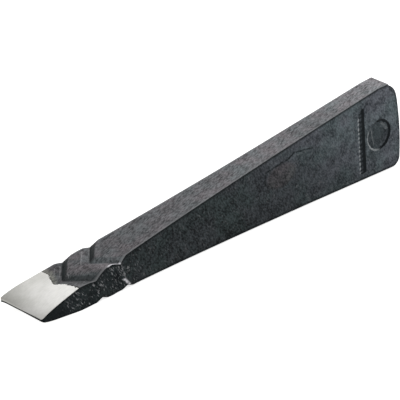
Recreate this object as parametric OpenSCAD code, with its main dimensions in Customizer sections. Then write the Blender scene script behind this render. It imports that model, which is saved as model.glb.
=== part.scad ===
// Forged splitting wedge, one piece of steel.
// It is drawn out lying on its side profile's centre line: x runs from the cutting edge to the
// striking face, y from side to side and z from one working face to the other. At the end the
// tool is laid down on its lower working face, with the origin under the middle of the part.

/* [Body] */
// Length from the cutting edge to the top of the crowned striking face
overall_length = 250; // [230:1:280]
// Height between the two working faces at the striking face, before its corners are rounded
head_height = 51.4; // [46:0.2:58]
// Thickness from side to side at the striking face
head_thickness = 12.7; // [10:0.1:18]

/* [Cutting edge] */
// Width of the flared cutting edge
edge_width = 31.6; // [28:0.2:38]
// Thickness of the blunt land left on the cutting edge
edge_land = 0.8; // [0.3:0.1:1.2]
// Length of the convex bevels, from the cutting edge to where they run into the working faces
bevel_length = 33; // [28:0.5:36]
// Height between the working faces where the bevels end
bevel_height = 13.7; // [12:0.1:16]
// Fullness of the bevels: 1 is flat, less is rounder
bevel_fullness = 0.6; // [0.5:0.01:0.75]

/* [Flare] */
// How much each side widens evenly from the striking face to the cutting edge
side_taper = 2.1; // [1:0.1:4]
// How late the sides flare out: more keeps the waist slim for longer
flare_power = 3; // [2.5:0.1:5]

/* [Notches] */
// Distance of the front notch's point from the cutting edge, on the centre line
front_notch = 24.8; // [24:0.1:28]
// Distance from the front notch to the rear one
notch_pitch = 17.2; // [15:0.1:20]
// How far the arms of each notch lean back from square, in degrees
notch_sweep = 39.5; // [30:0.5:42]
// Width of a notch, square to its arm
notch_width = 7.8; // [6:0.2:9]
// Depth of a notch under the working face
notch_depth = 1.8; // [1:0.1:2.2]
// How far the metal pressed aside by a notch stands out on each side
notch_swell = 0.8; // [0.2:0.1:1.2]

/* [Striking face] */
// Radius of the crown that the hammer meets
crown_radius = 140; // [100:5:180]
// Radius of the upper corner of the head, which meets the working face in a crisp edge
upper_corner = 14; // [8:0.5:18]
// How far short of the top of the crown the upper working face ends
face_shortfall = 7.4; // [6:0.2:10]
// Radius of the lower corner of the head, which runs smoothly into the working face
lower_corner = 6; // [3:0.5:10]

/* [Edges] */
// Width of the flat that breaks each long arris
arris_break = 0.5; // [0.3:0.1:1.2]

/* [Hidden] */

steel_black = [0.17, 0.18, 0.19];
bevel_steps = 12;
swell_steps = 8;
waist_steps = 14;
corner_steps = 8;
crown_steps = 12;
notch_count = 2;
// How far cutters and outlines run past the metal
margin = 4;
// Height that a notch's flanks are carried above the working face, as a share of its depth
flank_overrun = 1;

// Angle between a working face and the centre line
half_angle = atan((head_height - bevel_height) / 2 / (overall_length - bevel_length));
crown_centre = overall_length - crown_radius;
sweep_ratio = tan(notch_sweep);
notch_reach = notch_width / 2 / cos(notch_sweep);

// Half the height between the working faces, and under the ground bevels
function face_height(x) = bevel_height / 2 + (x - bevel_length) * tan(half_angle);
bevel_gain = (bevel_height - edge_land) / 2 / pow(bevel_length, bevel_fullness);
function bevel_rise(x) = edge_land / 2 + bevel_gain * pow(x, bevel_fullness);

// Half the width of the flared outline, without the swells
edge_flare = (edge_width - head_thickness) / 2 - side_taper;
function run_left(x) = max(0, 1 - x / overall_length);
function flared_width(x) =
    head_thickness / 2 + side_taper * run_left(x) + edge_flare * pow(run_left(x), flare_power);

// Where a notch that starts at x on the centre line comes out on the sides
function came_out(x, y) = x + y * sweep_ratio;
function side_station(x) = came_out(x, flared_width(came_out(x, flared_width(x))));
notch_points = [for (i = [0 : notch_count - 1]) front_notch + i * notch_pitch];
notch_sides = [for (x = notch_points) side_station(x)];

// One swell rises and falls smoothly over the width of its notch
function swell(x, middle) =
    abs(x - middle) < notch_reach ? notch_swell * pow(cos(90 * (x - middle) / notch_reach), 2) : 0;
function all_swells(x, i = 0) =
    i < notch_count ? swell(x, notch_sides[i]) + all_swells(x, i + 1) : 0;
function half_width(x) = flared_width(x) + all_swells(x);

// Centre of the lower corner, drawn above the centre line: its arc touches the working face and
// the crown
inset = face_height(0) * cos(half_angle) - lower_corner;
along =
    crown_centre * cos(half_angle)
    + sqrt(pow(crown_radius - lower_corner, 2) - pow(inset + crown_centre * sin(half_angle), 2));
lower_centre = [
    along * cos(half_angle) - inset * sin(half_angle),
    along * sin(half_angle) + inset * cos(half_angle)
];

// Centre of the upper corner: its arc starts at the end of the working face and touches the crown
face_end = overall_length - face_shortfall;
end_offset = [face_end - crown_centre, face_height(face_end)];
end_reach = norm(end_offset);
centre_reach = crown_radius - upper_corner;
centre_angle =
    atan2(end_offset[1], end_offset[0])
    - acos(
        (pow(end_reach, 2) + pow(centre_reach, 2) - pow(upper_corner, 2))
        / (2 * end_reach * centre_reach)
    );
upper_centre = [crown_centre + centre_reach * cos(centre_angle), centre_reach * sin(centre_angle)];
upper_start = atan2(end_offset[1] - upper_centre[1], face_end - upper_centre[0]);

function crown_limit(centre) = atan2(centre[1], centre[0] - crown_centre);
function corner_arc(centre, radius, start) = [
    for (i = [0 : corner_steps])
        let (turn = start + (crown_limit(centre) - start) * i / corner_steps)
            centre + radius * [cos(turn), sin(turn)]
];
upper_arc = corner_arc(upper_centre, upper_corner, upper_start);
lower_arc = corner_arc(lower_centre, lower_corner, 90 + half_angle);

// Points of the side profile, above the centre line
function bevel_station(i) = bevel_length * pow(i / bevel_steps, 2);
bevel_line = [for (i = [0 : bevel_steps]) [bevel_station(i), bevel_rise(bevel_station(i))]];
crown_span = crown_limit(upper_centre) + crown_limit(lower_centre);
function crown_angle(i) = crown_limit(upper_centre) - crown_span * i / crown_steps;
crown_arc = [
    for (i = [1 : crown_steps - 1])
        [crown_centre + crown_radius * cos(crown_angle(i)), crown_radius * sin(crown_angle(i))]
];

// Stations along the waist, close together where the swells are
function swell_station(i) =
    bevel_length + (notch_sides[notch_count - 1] + notch_reach - bevel_length) * i / swell_steps / 2;
swell_line = [for (i = [1 : 2 * swell_steps]) swell_station(i)];
waist_start = swell_station(2 * swell_steps);
waist_end = overall_length - upper_corner - lower_corner;
waist_line = [for (i = [1 : waist_steps]) waist_start + (waist_end - waist_start) * i / waist_steps];
body_line = [for (x = concat(swell_line, waist_line)) [x, face_height(x)]];

function mirrored(points) = [for (i = [len(points) - 1 : -1 : 0]) [points[i][0], -points[i][1]]];

side_outline = concat(
    bevel_line,
    upper_arc,
    crown_arc,
    mirrored(lower_arc),
    mirrored(bevel_line)
);

plan_stations = [for (p = concat(bevel_line, body_line)) p[0]];
plan_side = concat(
    [for (x = plan_stations) [x, half_width(x)]],
    [
        [overall_length - arris_break, half_width(overall_length)],
        [overall_length, half_width(overall_length) - arris_break]
    ]
);
plan_outline = concat(plan_side, mirrored(plan_side));

// The break of an arris, measured across the corner; it fades out on the thin cutting edge
function arris_reach(p) = (half_width(p[0]) + p[1] - min(arris_break, p[1] / 2)) / sqrt(2);
function arris_side(corner) = [
    for (p = concat(bevel_line, body_line, corner)) [p[0], arris_reach(p)]
];
function run_out(points) = concat(
    [[-margin, points[0][1]]],
    points,
    [[overall_length + margin, points[len(points) - 1][1]]]
);
arris_outline = concat(run_out(arris_side(upper_arc)), mirrored(run_out(arris_side(lower_arc))));

// Place of the finished tool: on its lower working face, centred on its own length
rest_height = face_height(0) * cos(half_angle);
front_reach = -edge_land / 2 * sin(half_angle);
rear_reach = crown_centre * cos(half_angle) + crown_radius;
middle = (front_reach + rear_reach) / 2;

// A slab across the whole tool with its outline in the x and z plane
module side_slab(outline) {
    rotate([90, 0, 0])
        linear_extrude(height = head_height + edge_width, center = true)
            polygon(outline);
}

// The tapered and flared bar with its arrises broken, before the notches
module drawn_bar() {
    intersection() {
        side_slab(side_outline);
        linear_extrude(height = head_height + margin, center = true)
            polygon(plan_outline);
        rotate([45, 0, 0])
            side_slab(arris_outline);
        rotate([-45, 0, 0])
            side_slab(arris_outline);
    }
}

// One arm of a notch: a V groove that leans back from the centre line, over the upper face
module notch_arm(x) {
    arm_length = (edge_width / 2 + margin) / cos(notch_sweep) + notch_width;
    side_room = edge_width + margin;
    top = notch_depth * flank_overrun;
    half_top = notch_width / 2 * (1 + flank_overrun);
    intersection() {
        translate([x, 0, 0])
            rotate([0, 0, -notch_sweep])
                rotate([90, 0, 0])
                    linear_extrude(height = 2 * arm_length, center = true)
                        polygon([[0, -notch_depth], [half_top, top], [-half_top, top]]);
        translate([x - side_room, 0, -margin])
            cube([2 * side_room, side_room, 2 * margin]);
    }
}

// Both arms of a notch, which meet in a point towards the cutting edge
module chevron_notch(x) {
    translate([0, 0, face_height(0)])
        rotate([0, -half_angle, 0]) {
            notch_arm(x / cos(half_angle));
            mirror([0, 1, 0])
                notch_arm(x / cos(half_angle));
        }
}

// The whole tool, laid on its lower working face
module forged_wedge() {
    color(steel_black)
        translate([-middle, 0, rest_height])
            rotate([0, -half_angle, 0])
                difference() {
                    drawn_bar();
                    for (x = notch_points) {
                        chevron_notch(x);
                        mirror([0, 0, 1])
                            chevron_notch(x);
                    }
                }
}

forged_wedge();
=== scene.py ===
import math

import bmesh
import bpy
import numpy as np
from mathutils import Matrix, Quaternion, Vector
from mathutils.geometry import delaunay_2d_cdt


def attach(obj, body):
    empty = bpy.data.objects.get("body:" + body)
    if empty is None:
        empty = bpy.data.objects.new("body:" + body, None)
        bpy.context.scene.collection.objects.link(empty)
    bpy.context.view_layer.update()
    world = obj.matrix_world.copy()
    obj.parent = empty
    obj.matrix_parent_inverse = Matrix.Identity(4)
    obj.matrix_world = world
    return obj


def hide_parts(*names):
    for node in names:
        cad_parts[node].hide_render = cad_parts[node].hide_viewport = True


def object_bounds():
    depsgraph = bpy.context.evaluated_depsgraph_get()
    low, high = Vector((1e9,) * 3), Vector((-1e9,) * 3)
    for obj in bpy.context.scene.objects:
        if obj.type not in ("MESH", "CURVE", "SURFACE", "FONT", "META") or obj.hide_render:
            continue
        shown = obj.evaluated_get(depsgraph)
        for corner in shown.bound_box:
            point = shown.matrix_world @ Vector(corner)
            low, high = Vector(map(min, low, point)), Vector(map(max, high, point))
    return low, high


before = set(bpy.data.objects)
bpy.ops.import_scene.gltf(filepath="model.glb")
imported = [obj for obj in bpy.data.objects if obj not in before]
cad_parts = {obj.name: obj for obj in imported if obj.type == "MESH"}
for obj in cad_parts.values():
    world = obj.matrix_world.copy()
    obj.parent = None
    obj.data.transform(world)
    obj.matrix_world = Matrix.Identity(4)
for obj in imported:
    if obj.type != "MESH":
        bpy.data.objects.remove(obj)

cad_low, cad_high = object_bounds()

MM = 0.001
NODE = "forged_wedge"
PIECE = "forged_body"
SLOT = "forged_steel"
SEED = 7

# The form is worked out along the tool: x from the cutting edge to the striking face, y from the
# marked side to the plain side, and z from one working face to the other, 0 on the centre line.
# A face is named by the sign of its z and a side by the sign of its y.
UPPER, LOWER = 1, -1
MARKED, PLAIN = -1, 1


def mm(*lengths):
    """Lengths given in millimetres."""
    return tuple(length * MM for length in lengths)


def sided(marked, plain):
    """A length in millimetres for each side."""
    return {MARKED: marked * MM, PLAIN: plain * MM}


# Body
LENGTH = 250 * MM
HEAD_HEIGHT = 51.4 * MM
HEAD_THICKNESS = 12.7 * MM
SIDE_TAPER = 2.1 * MM
FLARE_POWER = 3

# Cutting edge; the plain side's corner is sharper and stands out further, as hammered by hand
EDGE_WIDTH = cad_high.y - cad_low.y
EDGE_LAND = 0.8 * MM
EDGE_CORNER = sided(1.7, 0.3)
EDGE_SKEW = sided(-0.6, 0.85)
SKEW_REACH = 20 * MM
EDGE_LEAD = 0.55 * MM
LEAD_REACH = 3 * MM
# How far the bevels lie above their even shape at each end of the cutting edge
EDGE_LIFT = {UPPER: sided(-0.1, 0.42), LOWER: sided(-0.12, 0.45)}
LIFT_REACH = 11 * MM

# Convex bevels, and how far the grinding wheel has cleaned them
BEVEL_LENGTH = 33 * MM
BEVEL_HEIGHT = 13.7 * MM
BEVEL_FULLNESS = {UPPER: 0.61, LOWER: 0.56}
GROUND_LIMIT = (
    (-14, -12.5, -9.7, -4.7, -1, 0.5, 4.6, 8, 10.6, 14),
    (24.9, 24.6, 23.9, 22.7, 20.2, 19.6, 21.5, 23, 23.3, 22.9),
)

# Notches, each a V with a ramp towards the cutting edge and a wall behind it
NOTCH_POINTS = mm(24.4, 41.8)
LOWER_SHIFT = 2.9 * MM
LOWER_SHARE = 0.75
POINT_ROUNDING = mm(0.8, 0.4)
NOTCH_LEAN = 0.825
SIDE_LEAN = {MARKED: 1, PLAIN: 1.04}
MIDDLE_DEPTH = 1.45 * MM
SIDE_DEPTH = sided(2.3, 1.8)
RAMP_REACH = {UPPER: 4.9 * MM, LOWER: 3.6 * MM}
WALL_REACH = 4.2 * MM
NOTCH_HOLLOW = 1.2
# How much longer ramp and wall are at the marked and at the plain side
RAMP_OPENING = (sided(6, 0.5), sided(0.4, 0))
WALL_OPENING = (sided(4, 1.6), sided(0.8, 1.6))
LOBE_POINT = 34.4 * MM
LOBE_REACH = 3.6 * MM
LOBE_RISE = {UPPER: 0.12 * MM, LOWER: 0.4 * MM}
BELLY_POINT = 9.5 * MM
BELLY_REACH = 6.5 * MM
BELLY_RISE = sided(0, 0.3)
HEEL_POINT = 26 * MM
HEEL_REACH = 9 * MM
HEEL_RISE = {UPPER: 0, LOWER: 0.65 * MM}
SWELL_RISE = sided(0.85, 0.4)
SWELL_REACH = 2.4 * MM
SWELL_CREST = 0.3 * MM
SWELL_LEAN = 0.2

# Striking face
CROWN_RADIUS = 140 * MM
UPPER_CORNER = 14 * MM
FACE_SHORTFALL = 7.4 * MM
LOWER_CORNER = 6 * MM
HEAD_SKEW = sided(0.45, 0.9)
HEAD_DROP = sided(0.75, 0.45)
HEAD_LIP = 1 * MM
HEAD_BURR = 0.3 * MM
HEAD_FULLNESS = 0.3 * MM
HEAD_FOOT = 0.5 * MM

# Rounding of the long arrises, finer on the ground tip
ARRIS_RADIUS = 0.38 * MM
TIP_ARRIS_RADIUS = 0.14 * MM
ARRIS_CHANGE = mm(22, 40)
ARRIS_ROOM = 0.7
ARRIS_STEPS = 4

# Stamped marks on one side of the head: a round recess and a toothed line
RING_X = 234.2 * MM
RING_Z = -2 * MM
RING_RADIUS = 8.5 * MM
RING_WALL = 0.8 * MM
RING_DEPTH = 0.45 * MM
LINE_X = 219.7 * MM
LINE_LEAN = 0.043
LINE_WIDTH = 4.6 * MM
LINE_TOP = 17.9 * MM
LINE_SLANT = 3 * MM
LINE_BOTTOM = -19.6 * MM
LINE_DEPTH = 0.75 * MM
TOOTH_PITCH = 2.5 * MM

# How the last blows moved the head: where its end, its top and its foot begin and are complete
HEAD_END = mm(236, 243)
HEAD_TOP = mm(17, 22)
HEAD_BOTTOM = mm(-26, -20)
LIP_STEP = mm(0.3, 0.9)
LIP_FADE = mm(244, 249)

# Fineness of the skin: rows close together at the edge, then stretches with their start and pitch
FINE_END = 92 * MM
PANEL_START = 214 * MM
EDGE_ROWS = 8
EDGE_STRETCH = 1 * MM
STRETCHES = (
    (EDGE_STRETCH, 0.42 * MM),
    (20 * MM, 0.34 * MM),
    (58 * MM, 0.55 * MM),
    (FINE_END, 0.7 * MM),
    (PANEL_START, 0.6 * MM),
)
LAST_ROW = 0.3 * MM
CROWN_PITCH = 0.7 * MM
FACE_COUNT = (48, 24)
SIDE_COUNT = (28, 62)
PANEL_PITCH = 0.62 * MM
# Where the skin's rows begin and cease to follow the notches, and where one notch hands over
LEAN_STATIONS = mm(0, 20, 46, 118)
BETWEEN_NOTCHES = mm(30, 38)
FRONT_NOTCH_END = 34 * MM
# Circles round the recess's wall, as shares of its width, and columns across the toothed line
RING_OFFSETS = (0.7, 0.45, 0.25, 0.1, -0.05, -0.2, -0.35, -0.5, -0.65, -0.8, -1, -1.25)
RING_POINTS = 150
RING_PITCH = 0.42 * MM
LINE_COLUMNS = (
    -0.28, -0.2, -0.14, -0.08, -0.03, 0.02, 0.07, 0.12, 0.19, 0.28, 0.4, 0.55, 0.7, 0.85, 1, 1.12,
)
ROWS_PER_TOOTH = 10
# Height of a row of even points to its pitch, and the room left round the rim and the marks
ROW_STEP = 0.866
RIM_ROOM = 0.5
RING_ROOM = (1.1, 1.6)
LINE_ROOM = (-0.36, 1.2)
LINE_END_ROOM = 0.3 * MM
MERGE = 0.001 * MM

HALF_ANGLE = math.atan((HEAD_HEIGHT - BEVEL_HEIGHT) / 2 / (LENGTH - BEVEL_LENGTH))
CROWN_CENTRE = LENGTH - CROWN_RADIUS


def face_height(x):
    return BEVEL_HEIGHT / 2 + (x - BEVEL_LENGTH) * math.tan(HALF_ANGLE)


def bevel_rise(x, face):
    share = np.clip(x, 0, BEVEL_LENGTH) / BEVEL_LENGTH
    return EDGE_LAND / 2 + (BEVEL_HEIGHT - EDGE_LAND) / 2 * share ** BEVEL_FULLNESS[face]


def half_width(x, side):
    left = np.clip(1 - x / LENGTH, 0, None)
    flare = (EDGE_WIDTH - HEAD_THICKNESS) / 2 - SIDE_TAPER
    skew = EDGE_SKEW[side] * np.exp(-x / SKEW_REACH)
    short = np.clip(1 - x / EDGE_CORNER[side], 0, 1)
    corner = EDGE_CORNER[side] * (1 - np.sqrt(1 - short * short))
    return HEAD_THICKNESS / 2 + SIDE_TAPER * left + flare * left**FLARE_POWER + skew - corner


def side_share(x, y):
    """How far out a place lies, 0 on the centre line and 1 on a side."""
    return np.abs(y) / np.where(y < 0, half_width(x, MARKED), half_width(x, PLAIN))


def by_side(y, values):
    return np.where(y < 0, values[MARKED], values[PLAIN])


def notch_slopes(x, y, which, face):
    """Shares of a notch's ramp and wall there, 1 on its floor and 0 where it runs out."""
    aside = np.sqrt(y * y + POINT_ROUNDING[which] ** 2)
    shift = LOWER_SHIFT if face == LOWER else 0
    behind = x - NOTCH_POINTS[which] - shift - NOTCH_LEAN * by_side(y, SIDE_LEAN) * aside
    out = side_share(x, y) ** 3 if face == UPPER else 0 * x
    ramp_reach = RAMP_REACH[face] + out * by_side(y, RAMP_OPENING[which])
    wall_reach = WALL_REACH + out * by_side(y, WALL_OPENING[which])
    ramp = np.clip(1 + behind / ramp_reach, 0, 1) * (behind <= 0)
    wall = np.clip(1 - behind / wall_reach, 0, 1) * (behind > 0)
    return ramp, wall


def notch_depth(x, y, face):
    depth = MIDDLE_DEPTH + (by_side(y, SIDE_DEPTH) - MIDDLE_DEPTH) * side_share(x, y) ** 2
    depth = depth if face == UPPER else LOWER_SHARE * depth
    cut = 0 * x
    for which in range(len(NOTCH_POINTS)):
        ramp, wall = notch_slopes(x, y, which, face)
        cut = np.maximum(cut, depth * (ramp + wall) ** NOTCH_HOLLOW)
    return cut


def hump(offset, reach):
    return np.exp(-((offset / reach) ** 2))


def surface_height(x, y, face):
    sound = np.where(x < BEVEL_LENGTH, bevel_rise(x, face), face_height(x))
    lobe = hump(x - LOBE_POINT - NOTCH_LEAN * np.abs(y), LOBE_REACH)
    lift = by_side(y, EDGE_LIFT[face]) * np.exp(-x / LIFT_REACH)
    lift = lift + HEEL_RISE[face] * hump(x - HEEL_POINT, HEEL_REACH)
    if face == UPPER:
        lift = lift + by_side(y, BELLY_RISE) * hump(x - BELLY_POINT, BELLY_REACH)
    return sound + (lift + LOBE_RISE[face] * lobe) * side_share(x, y) - notch_depth(x, y, face)


def swell_crest(which, z, side):
    """Where the metal that a notch pressed aside stands out most."""
    point = NOTCH_POINTS[which]
    slant = NOTCH_LEAN * SIDE_LEAN[side]
    floor = point + slant * half_width(point + slant * half_width(point, side), side)
    return floor + LOWER_SHIFT / 2 - SWELL_LEAN * z


def swell(x, z, side):
    out = 0 * x
    for which in range(len(NOTCH_POINTS)):
        away = np.sqrt((x - swell_crest(which, z, side)) ** 2 + SWELL_CREST**2)
        out = out + SWELL_RISE[side] * np.exp(-away / SWELL_REACH)
    return out


def lean(station):
    """How far the skin's cross lines follow the notches at a station."""
    return np.interp(station, LEAN_STATIONS, [0, NOTCH_LEAN, NOTCH_LEAN, 0])


def crossing(station, y):
    rounding = np.interp(station, BETWEEN_NOTCHES, POINT_ROUNDING)
    return station + lean(station) * by_side(y, SIDE_LEAN) * np.sqrt(y * y + rounding**2)


def side_crossing(station, side):
    x = station
    for _ in range(8):
        x = crossing(station, half_width(x, side))
    return x


def arris_radius(x, height):
    radius = np.interp(x, ARRIS_CHANGE, [TIP_ARRIS_RADIUS, ARRIS_RADIUS])
    return min(radius, height * ARRIS_ROOM)


def spaced(start, end, pitch):
    steps = max(1, round((end - start) / pitch))
    return [start + (end - start) * i / steps for i in range(steps)]


def lower_corner_centre():
    """Centre of the corner that runs smoothly from the working face into the crown."""
    inset = face_height(0) * math.cos(HALF_ANGLE) - LOWER_CORNER
    rise = inset + CROWN_CENTRE * math.sin(HALF_ANGLE)
    reach = math.sqrt((CROWN_RADIUS - LOWER_CORNER) ** 2 - rise**2)
    along = CROWN_CENTRE * math.cos(HALF_ANGLE) + reach
    x = along * math.cos(HALF_ANGLE) - inset * math.sin(HALF_ANGLE)
    z = along * math.sin(HALF_ANGLE) + inset * math.cos(HALF_ANGLE)
    return x, z


def upper_corner_centre():
    """Centre of the corner that starts at a crisp edge and runs smoothly into the crown."""
    end = LENGTH - FACE_SHORTFALL - CROWN_CENTRE
    rise = face_height(LENGTH - FACE_SHORTFALL)
    span = math.hypot(end, rise)
    reach = CROWN_RADIUS - UPPER_CORNER
    turn = math.acos((span**2 + reach**2 - UPPER_CORNER**2) / (2 * span * reach))
    angle = math.atan2(rise, end) - turn
    return CROWN_CENTRE + reach * math.cos(angle), reach * math.sin(angle)


def face_end(face):
    if face == UPPER:
        return LENGTH - FACE_SHORTFALL
    return lower_corner_centre()[0] - LOWER_CORNER * math.sin(HALF_ANGLE)


def face_stations(face):
    """Stations along a working face, from the cutting edge to a corner of the striking face."""
    end = face_end(face)
    stations = [EDGE_STRETCH * (i / EDGE_ROWS) ** 2 for i in range(EDGE_ROWS)]
    ends = [start for start, _ in STRETCHES[1:]] + [end - LAST_ROW]
    for (start, pitch), stop in zip(STRETCHES, ends):
        stations += spaced(start, stop, pitch)
    return stations + [end - LAST_ROW, end]


def arris_arc(station, side, face):
    edge_x = side_crossing(station, side)
    width = float(half_width(edge_x, side))
    radius = arris_radius(edge_x, float(surface_height(edge_x, side * width, face)))
    turn = np.linspace(0, math.pi / 2, ARRIS_STEPS + 1)
    y = side * (width - radius + radius * np.sin(turn))
    x = crossing(station, y)
    z = face * (surface_height(x, y, face) - radius * (1 - np.cos(turn)))
    return np.stack([x, y, z], 1)


def station_rim(station, face):
    near = arris_arc(station, MARKED, face)
    far = arris_arc(station, PLAIN, face)
    count = FACE_COUNT[0] if station < FINE_END else FACE_COUNT[1]
    y = np.linspace(near[0, 1], far[0, 1], count)
    x = crossing(station, y)
    return np.stack([x, y, face * surface_height(x, y, face)], 1), near, far


def crown_arc(x, z, normal_x, normal_z, side):
    turn = np.linspace(0, math.pi / 2, ARRIS_STEPS + 1)
    inward = ARRIS_RADIUS * (1 - np.cos(turn))
    arc_x = x - normal_x * inward
    y = side * (half_width(arc_x, side) - ARRIS_RADIUS * (1 - np.sin(turn)))
    return np.stack([arc_x, y, z - normal_z * inward], 1)


def crown_rim(x, z, normal_x, normal_z):
    near = crown_arc(x, z, normal_x, normal_z, MARKED)
    far = crown_arc(x, z, normal_x, normal_z, PLAIN)
    count = FACE_COUNT[1]
    y = np.linspace(near[0, 1], far[0, 1], count)
    return np.stack([np.full(count, x), y, np.full(count, z)], 1), near, far


def arc_rims(centre, radius, start, end, pitch):
    steps = max(2, round(abs(end - start) * radius / pitch))
    rims = []
    for i in range(1, steps):
        turn = start + (end - start) * i / steps
        normal = (math.cos(turn), math.sin(turn))
        rims.append(crown_rim(centre[0] + radius * normal[0], centre[1] + radius * normal[1], *normal))
    return rims


def striking_rims():
    upper = upper_corner_centre()
    lower = lower_corner_centre()
    upper_limit = math.atan2(upper[1], upper[0] - CROWN_CENTRE)
    lower_limit = math.atan2(lower[1], lower[0] - CROWN_CENTRE)
    end = face_end(UPPER)
    upper_start = math.atan2(face_height(end) - upper[1], end - upper[0])
    lower_end = -math.pi / 2 - HALF_ANGLE
    return (
        arc_rims(upper, UPPER_CORNER, upper_start, upper_limit, CROWN_PITCH / 2)
        + arc_rims((CROWN_CENTRE, 0), CROWN_RADIUS, upper_limit, -lower_limit, CROWN_PITCH)
        + arc_rims((lower[0], -lower[1]), LOWER_CORNER, -lower_limit, lower_end, CROWN_PITCH)
    )


class Skin:
    """Points with their working-face share and distance to the arris, and faces between them."""

    def __init__(self):
        self.points = []
        self.faces = []
        self.count = 0

    def add(self, places, working, arris):
        columns = np.zeros((len(places), 5))
        columns[:, :3] = places
        columns[:, 3] = working
        columns[:, 4] = arris
        self.points.append(columns)
        self.count += len(places)
        return list(range(self.count - len(places), self.count))

    def bridge(self, first, second):
        """Joins two open rows, which may differ in count."""
        if len(first) == len(second):
            for i in range(len(first) - 1):
                self.faces.append((first[i], first[i + 1], second[i + 1], second[i]))
            return
        i = j = 0
        ends = (len(first) - 1, len(second) - 1)
        while i < ends[0] or j < ends[1]:
            if j == ends[1] or (i < ends[0] and (i + 1) * ends[1] <= (j + 1) * ends[0]):
                self.faces.append((first[i], first[i + 1], second[j]))
                i += 1
            else:
                self.faces.append((first[i], second[j + 1], second[j]))
                j += 1

    def sheet(self, rows):
        for first, second in zip(rows, rows[1:]):
            self.bridge(first, second)


def side_row(upper_arc, lower_arc, station):
    count = SIDE_COUNT[0] if station < FINE_END else SIDE_COUNT[1]
    share = np.linspace(0, 1, count)[:, None]
    return upper_arc[-1] * (1 - share) + lower_arc[-1] * share


def side_arris(row):
    return np.minimum(row[0, 2] - row[:, 2], row[:, 2] - row[-1, 2])


def inside_depth(points, outline, count=None):
    """Distance of each point inside a convex outline, from the nearest of its first sides."""
    run = np.roll(outline, -1, axis=0) - outline
    area = np.sum(outline[:, 0] * np.roll(outline[:, 1], -1) - outline[:, 1] * np.roll(outline[:, 0], -1))
    run = np.sign(area) * run / np.linalg.norm(run, axis=1)[:, None]
    offset = points[:, None, :] - outline[None, :, :]
    away = run[None, :, 0] * offset[:, :, 1] - run[None, :, 1] * offset[:, :, 0]
    return np.min(away[:, :count], axis=1)


def even_points(outline, pitch):
    low, high = outline.min(0), outline.max(0)
    rows = int((high[1] - low[1]) / (pitch * ROW_STEP)) + 1
    points = []
    for i in range(rows):
        x = np.arange(low[0] + (i % 2) * pitch / 2, high[0], pitch)
        points.append(np.stack([x, np.full(len(x), low[1] + i * pitch * ROW_STEP)], 1))
    return np.concatenate(points)


def ring_points():
    """Circles of points across the round recess's wall and an even field inside it."""
    circles = []
    for offset in RING_OFFSETS:
        radius = RING_RADIUS + offset * RING_WALL
        turn = np.linspace(0, 2 * math.pi, RING_POINTS, endpoint=False)
        circles.append(np.stack([RING_X + radius * np.cos(turn), RING_Z + radius * np.sin(turn)], 1))
    box = np.array([[-1, -1], [1, -1], [1, 1], [-1, 1]]) * RING_RADIUS + [RING_X, RING_Z]
    field = even_points(box, RING_PITCH)
    away = np.hypot(field[:, 0] - RING_X, field[:, 1] - RING_Z)
    return np.concatenate(circles + [field[away < RING_RADIUS - RING_ROOM[1] * RING_WALL]])


def line_points():
    """A close field over the toothed line, with the same rows to each tooth."""
    shares = np.array(LINE_COLUMNS)
    rows = round((LINE_TOP - LINE_BOTTOM) / TOOTH_PITCH * ROWS_PER_TOOTH)
    z = np.linspace(LINE_BOTTOM, LINE_TOP, rows + 1)
    grid_x, grid_z = np.meshgrid(LINE_X + shares * LINE_WIDTH, z)
    grid_x = grid_x + LINE_LEAN * grid_z
    return np.stack([grid_x.ravel(), grid_z.ravel()], 1)


def side_panel(skin, rim, seam, side):
    """The flat of the head's side as one sheet of triangles, inside its rim and its seam."""
    outline = np.concatenate([rim, seam])
    points = even_points(outline, PANEL_PITCH)
    points = points[inside_depth(points, outline) > PANEL_PITCH * RIM_ROOM]
    if side == MARKED:
        away = np.hypot(points[:, 0] - RING_X, points[:, 1] - RING_Z)
        points = points[away > RING_RADIUS + RING_ROOM[0] * RING_WALL]
        across = (points[:, 0] - LINE_X - LINE_LEAN * points[:, 1]) / LINE_WIDTH
        beside = (across < LINE_ROOM[0]) | (across > LINE_ROOM[1])
        above = points[:, 1] > LINE_TOP + LINE_END_ROOM
        beyond = above | (points[:, 1] < LINE_BOTTOM - LINE_END_ROOM)
        points = np.concatenate([points[beside | beyond], ring_points(), line_points()])
    every = np.concatenate([outline, points]) / MM
    edges = [(i, (i + 1) % len(outline)) for i in range(len(outline))]
    found = delaunay_2d_cdt([Vector(p) for p in every], edges, [], 1, 1e-5)
    flat = np.array([tuple(p) for p in found[0]]) * MM
    places = np.stack([flat[:, 0], side * half_width(flat[:, 0], side), flat[:, 1]], 1)
    depth = inside_depth(flat, outline, len(rim) - 1)
    ids = skin.add(places, 0, np.clip(depth, 0, None))
    skin.faces.extend(tuple(ids[i] for i in face) for face in found[2])


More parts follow.
